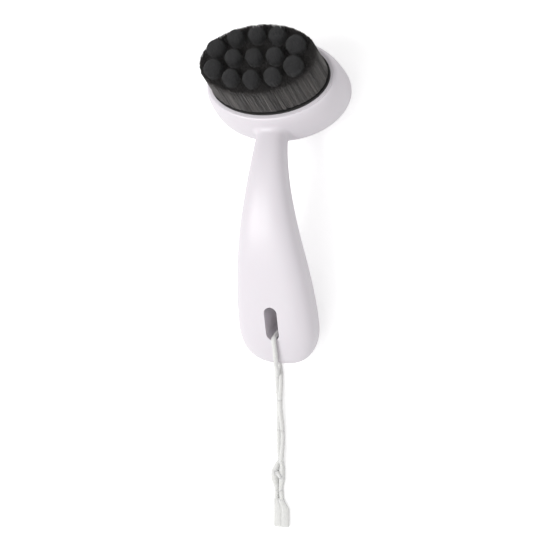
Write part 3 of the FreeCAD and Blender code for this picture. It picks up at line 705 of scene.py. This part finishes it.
def run_points(side, start, end, before):
    """Points of one strand of the doubled cord between two joints; side is 1 for the right strand."""
    points = []
    for step in range(1, RUN_STEPS + 1):
        middle = start + (end - start) * step / RUN_STEPS
        twist = run_twist(before + np.linalg.norm(middle - start))
        lift = BESIDE * math.sin(twist)
        height = STRAND_RADIUS + lift + side * lift * RUN_LIFT_SHARE
        points.append((middle[0] + side * BESIDE * math.cos(twist) * RUN_WIDTH_SHARE, middle[1], height))
    return points


def full_strand(side):
    """Centre of the front strand (side 1, on the left of the run) or the rear strand (side -1)."""
    across_side = -side
    profile = loop_profile(side)
    end_across = CROSSING[0] + across_side * BESIDE
    bow = FRONT_BOW if side > 0 else REAR_BOW
    first = profile[0][0]
    points = []
    for reach, height in profile:
        share = (reach - first) / (profile[-1][0] - first)
        across = SLOT_OFFSET + (end_across - SLOT_OFFSET) * share + bow * 4 * share * (1 - share)
        place = TURN_POINT + TAIL_DOWN * reach + TAIL_OUT * side * height
        points.append((across, place[1], max(place[2], STRAND_RADIUS)))
    reached = 0.0
    for start, end in ((CROSSING, UPPER_END), (UPPER_END, MIDDLE_END), (MIDDLE_END, KNOT_START)):
        points += run_points(across_side, start, end, reached)
        reached += np.linalg.norm(end - start)
    return points


def path_frames(path):
    """Two unit vectors square to the path at each point, turning as little as possible."""
    tangent = unit(np.gradient(path, axis=0))
    first = np.cross(tangent[0], [1.0, 0.0, 0.0] if abs(tangent[0][0]) < 0.8 else [0.0, 1.0, 0.0])
    normals = [unit(first)]
    for index in range(1, len(path)):
        turned = normals[-1] - tangent[index] * (normals[-1] @ tangent[index])
        normals.append(unit(turned))
    normals = np.array(normals)
    return normals, np.cross(tangent, normals)


def strand_rings(path, radius=STRAND_RADIUS, pitch=PLY_PITCH, phase=0.0):
    """Rings of a soft twisted strand: round, with a shallow groove between every two plies."""
    normal, other = path_frames(path)
    radius = np.broadcast_to(radius, len(path))
    step = np.linalg.norm(path[1] - path[0])
    turn = phase + 2 * math.pi * np.arange(len(path)) * step / pitch
    corners = np.arange(STRAND_SIDES) * 2 * math.pi / STRAND_SIDES
    share = ((corners[None] - turn[:, None]) * PLIES / (2 * math.pi)) % 1.0
    groove = np.exp(-((np.abs(share - 0.5) - 0.5) / GROOVE_WIDTH) ** 2)
    reach = radius[:, None] * (1 - GROOVE_DEPTH * groove)
    ring = normal[:, None] * np.cos(corners)[:, None] + other[:, None] * np.sin(corners)[:, None]
    return path[:, None] + ring * reach[..., None]


def add_rings(parts, rings):
    """A closed tube through the rings."""
    steps, sides, _ = rings.shape
    faces = tube_faces(steps, sides)
    faces.append(tuple(reversed(range(sides))))
    faces.append(tuple(range((steps - 1) * sides, steps * sides)))
    parts.add(rings, faces)


def cord_piece(name, rings_list, node):
    parts = MeshParts()
    for rings in rings_list:
        add_rings(parts, rings)
    obj = parts.make(name, CORD, lambda points: points * MM)
    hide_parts(node)
    return obj


def first_after(path, key):
    """Index of the first path point where key(point) is true."""
    for index, point in enumerate(path):
        if key(point):
            return index
    raise ValueError("the path never gets there")


KNOT_LOW = node_points("cord_knot").min(0) / MM
KNOT_HIGH = node_points("cord_knot").max(0) / MM
KNOT_START = np.array([MIDDLE_END[0], KNOT_HIGH[1], CROSSING[2]])
KNOT_MIDDLE = (KNOT_LOW + KNOT_HIGH) / 2
BLEND_REACH = 2.6            # the cord bends over this distance to either side of a joint
CUT_MARGIN = 0.1             # and is cut this far before the bend


def cut_index(path, joint):
    """Index where a strand is cut: just before it starts to bend at a joint."""
    return first_after(path, lambda point: point[1] < joint[1] + BLEND_REACH + CUT_MARGIN)


def make_cord_runs():
    """The two strands, cut into pieces at the joints."""
    strands = []
    for side in (1, -1):
        path = smooth_path(full_strand(side))
        strands.append((path, strand_rings(path, phase=0.0 if side > 0 else math.pi)))
    cuts = []
    for path, _ in strands:
        cuts.append([cut_index(path, joint) for joint in (CROSSING, UPPER_END, MIDDLE_END)] + [len(path) - 1])
    spans = [rings[:cut[0] + 1] for (_, rings), cut in zip(strands, cuts)]
    loop = cord_piece("loop_yarn", spans, "cord_loop")
    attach(loop, "loop")
    places = (("upper_yarn", "cord_upper", "loop", "upper_cord", CROSSING),
              ("middle_yarn", "cord_middle", "upper_cord", "middle_cord", UPPER_END),
              ("lower_yarn", "cord_lower", "middle_cord", "lower_cord", MIDDLE_END))
    for number, (name, node, before, after, place) in enumerate(places):
        spans = [rings[cut[number]:cut[number + 1] + 1] for (_, rings), cut in zip(strands, cuts)]
        obj = cord_piece(name, spans, node)
        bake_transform(obj)
    return [path[-1] for path, _ in strands]


def above_table(points):
    """Millimetres to metres, with no point lower than just above the table."""
    return np.maximum(points, [-1e3, -1e3, TABLE_GAP]) * MM


def make_knot(strand_ends):
    """A knot pulled tight: two strands pass through a turn that slants round them."""
    left_start, right_start = strand_ends
    x_mid, y_mid = KNOT_MIDDLE[:2]              # the points below are offsets in millimetres
    top, bottom = KNOT_HIGH[1], KNOT_LOW[1]
    low = STRAND_RADIUS
    left = [left_start, (x_mid - 0.6, top - 1.6, low + 0.35), (x_mid - 1.45, y_mid + 2.6, low + 0.5),
            (x_mid - 1.8, y_mid, low + 0.6), (x_mid - 1.6, y_mid - 2.4, low + 0.45),
            (x_mid - 1.05, bottom + 1.0, low + 0.1), (x_mid - 0.9, bottom - 0.4, low),
            (x_mid - 0.88, bottom - 1.2, low)]
    right = [right_start, (x_mid + 1.45, top - 2.0, low + 0.1), (x_mid + 1.4, y_mid + 1.5, low + 0.3),
             (x_mid + 1.35, y_mid - 2.2, low + 0.3), (x_mid + 1.0, bottom + 1.4, low + 0.05),
             (x_mid + 0.9, bottom - 0.4, low), (x_mid + 0.88, bottom - 1.2, low)]
    turns = []
    for step in range(29):
        angle = 2 * math.pi * step / 24 - 0.6
        turns.append((x_mid - 0.3 + 1.9 * math.cos(angle), y_mid + 0.2 - 1.5 * math.cos(angle + 0.4),
                      low + 0.7 + 0.55 * math.sin(angle)))
    parts = MeshParts()
    for points, phase, swell in ((left, 0.4, 0.70), (right, 2.2, 0.42), (turns, 1.0, 0.10)):
        path = smooth_path(points, rounds=8)
        fatness = STRAND_RADIUS * (1 + swell * np.sin(np.linspace(0, math.pi, len(path))) ** 2)
        add_rings(parts, strand_rings(path, radius=fatness, phase=phase))
    obj = parts.make("knot_yarn", CORD, above_table)
    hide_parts("cord_knot")
    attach(obj, "lower_cord")
    return left[-2], right[-2]


TAB_LOW = node_points("cord_tab").min(0) / MM
TAB_HIGH = node_points("cord_tab").max(0) / MM
TAB_WIDTH = 7.0
TAB_NECK_WIDTH = 4.6
TAB_LENGTH = 12.4
TAB_THICKNESS = 2.1
FLARE_SHARE = 0.42           # the tab reaches its full width at this share of its length
CORNER_START = 0.93          # its end corners are rounded from this share on
CORNER_SHARE = 0.07
CORNER_CUT = 0.45            # and cut off this much, in millimetres


def make_tab_neck(starts):
    """The two strands between the knot and the tab."""
    neck_x = TAB_LOW[0] + TAB_NECK_WIDTH / 2
    tab_top = TAB_LOW[1] + TAB_LENGTH
    low = STRAND_RADIUS
    parts = MeshParts()
    for start, side, phase in zip(starts, (-1, 1), (0.9, 2.6)):
        start = np.array(start)
        points = [start, (neck_x + side * 1.1, TAB_POINT[1], low), (neck_x + side * 1.2, tab_top - 0.6, low),
                  (neck_x + side * 1.3, tab_top - 2.6, low)]
        add_rings(parts, strand_rings(smooth_path(points, rounds=6), phase=phase))
    obj = parts.make("tab_neck_yarn", CORD, above_table)
    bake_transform(obj)


def tab_edges(share):
    """Left and right edge of the tab at a share of its length; only the right edge flares."""
    flare = min(share / FLARE_SHARE, 1.0)
    flare = flare * flare * (3 - 2 * flare)
    right = TAB_LOW[0] + TAB_NECK_WIDTH + (TAB_WIDTH - TAB_NECK_WIDTH) * flare
    corner = CORNER_CUT * max((share - CORNER_START) / CORNER_SHARE, 0.0) ** 2
    return TAB_LOW[0] + corner, right - corner


def make_tab():
    """The cord's two ends pressed flat side by side, with faint lengthwise ribs."""
    tab_top = TAB_LOW[1] + TAB_LENGTH
    rows, columns = 64, 57
    top, bottom = [], []
    for row in range(rows):
        share = row / (rows - 1)
        left, right = tab_edges(share)
        blunt = min(1.0, 0.45 + (1 - share) * 12, 0.6 + share * 6)
        for column in range(columns):
            across = 2 * column / (columns - 1) - 1
            edge = max(1 - abs(across) ** 3.4, 0.0) ** 0.5
            groove = 1 - 0.26 * math.exp(-((across - 0.05) / 0.12) ** 2)
            rib = 0.022 * math.sin(across * 22 + 0.9 * math.sin(share * 5))
            rib += 0.012 * math.sin(share * 80 + across * 9)
            thick = max(TAB_THICKNESS * edge * groove * blunt * (1 + rib), 0.06)
            x = (left + right) / 2 + across * (right - left) / 2
            y = tab_top - TAB_LENGTH * share - 0.10 * math.sin(across * 13) * share ** 8
            top.append((x, y, TAB_THICKNESS / 2 + thick / 2))
            bottom.append((x, y, TAB_THICKNESS / 2 - thick / 2))
    vertices = top + bottom
    count = rows * columns
    faces = []
    for row in range(rows - 1):
        for column in range(columns - 1):
            corner = row * columns + column
            faces.append((corner, corner + columns, corner + columns + 1, corner + 1))
            under = count + corner
            faces.append((under, under + 1, under + columns + 1, under + columns))
    rim = list(range(columns))
    rim += [row * columns + columns - 1 for row in range(1, rows)]
    rim += [(rows - 1) * columns + column for column in range(columns - 2, -1, -1)]
    rim += [row * columns for row in range(rows - 2, 0, -1)]
    for here, following in zip(rim, rim[1:] + rim[:1]):
        faces.append((here, following, count + following, count + here))
    obj = new_object("end_tab", np.array(vertices) * MM, faces, CORD)
    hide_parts("cord_tab")
    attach(obj, "cord_end")


run_ends = make_cord_runs()
neck_starts = make_knot(run_ends)
make_tab_neck(neck_starts)
make_tab()

# ---------------------------------------------------------------- stage, light and camera

VIEW_BACK = Vector((0.3296, 0.0729, 0.9413))        # from the brush towards the camera
VIEW_UP = Vector((-0.0284, 0.9973, -0.0673))
VIEW_AIM = Vector((0.77, -80.26, 20.0)) * MM
VIEW_DISTANCE = 400.24 * MM
SENSOR = 36.0
LENS = SENSOR * 1000 / 550                           # a field of view of about 31 degrees
WORLD_STRENGTH = 0.63
KEY_PLACE = (-0.44, -0.16, 0.84)
KEY_TARGET = (0, -0.05, 0.02)
KEY_SIZE = 0.50
KEY_POWER = 4.9
FILL_PLACE = (-0.1, -0.55, 0.75)
FILL_TARGET = (0, -0.08, 0.02)
FILL_SIZE = 0.5
FILL_POWER = 0.8
FLOOR_HALF_SIZE = 3.0
FLOOR_GAP = 0.0002           # the floor lies this far below the brush
FLOOR_PALE = (0.92, 0.92, 0.92, 1)
FLOOR_GLOW = 0.42            # lifts the floor to a plain white for the camera only


def add_floor():
    size = FLOOR_HALF_SIZE
    low = cad_low.z - FLOOR_GAP
    corners = [(-size, -size, low), (size, -size, low), (size, size, low), (-size, size, low)]
    material, tree, shader = new_material("floor_pale")
    shader.inputs["Base Color"].default_value = FLOOR_PALE
    shader.inputs["Roughness"].default_value = 0.9
    shader.inputs["Specular IOR Level"].default_value = 0.1
    shader.inputs["Emission Color"].default_value = (1, 1, 1, 1)
    seen = add_node(tree, "ShaderNodeLightPath").outputs["Is Camera Ray"]
    glow = add_node(tree, "ShaderNodeMath", operation="MULTIPLY")
    glow.inputs[1].default_value = FLOOR_GLOW
    tree.links.new(seen, glow.inputs[0])
    tree.links.new(glow.outputs[0], shader.inputs["Emission Strength"])
    floor = new_object("floor", corners, [(0, 1, 2, 3)], material, smooth=False)
    return floor


def add_area(name, place, target, size, power, colour=(1, 1, 1)):
    light = bpy.data.lights.new(name, "AREA")
    light.shape = "DISK"
    light.size = size
    light.energy = power
    light.color = colour
    obj = bpy.data.objects.new(name, light)
    obj.location = place
    obj.rotation_euler = (Vector(target) - Vector(place)).to_track_quat("-Z", "Y").to_euler()
    bpy.context.scene.collection.objects.link(obj)
    return obj


def add_world(strength):
    world = bpy.data.worlds.new("studio")
    world.use_nodes = True
    background = world.node_tree.nodes["Background"]
    background.inputs["Color"].default_value = (1, 1, 1, 1)
    background.inputs["Strength"].default_value = strength
    bpy.context.scene.world = world


def add_camera():
    data = bpy.data.cameras.new("camera")
    data.sensor_width = SENSOR
    data.lens = LENS
    camera = bpy.data.objects.new("camera", data)
    back = VIEW_BACK.normalized()
    right = VIEW_UP.cross(back).normalized()
    up = back.cross(right)
    turn = Matrix((right, up, back)).transposed().to_4x4()
    camera.matrix_world = Matrix.Translation(VIEW_AIM + back * VIEW_DISTANCE) @ turn
    bpy.context.scene.collection.objects.link(camera)
    bpy.context.scene.camera = camera


add_floor()
add_world(WORLD_STRENGTH)
add_area("key", KEY_PLACE, KEY_TARGET, KEY_SIZE, KEY_POWER)
add_area("fill", FILL_PLACE, FILL_TARGET, FILL_SIZE, FILL_POWER)
add_camera()
bpy.context.scene.view_settings.view_transform = "Standard"
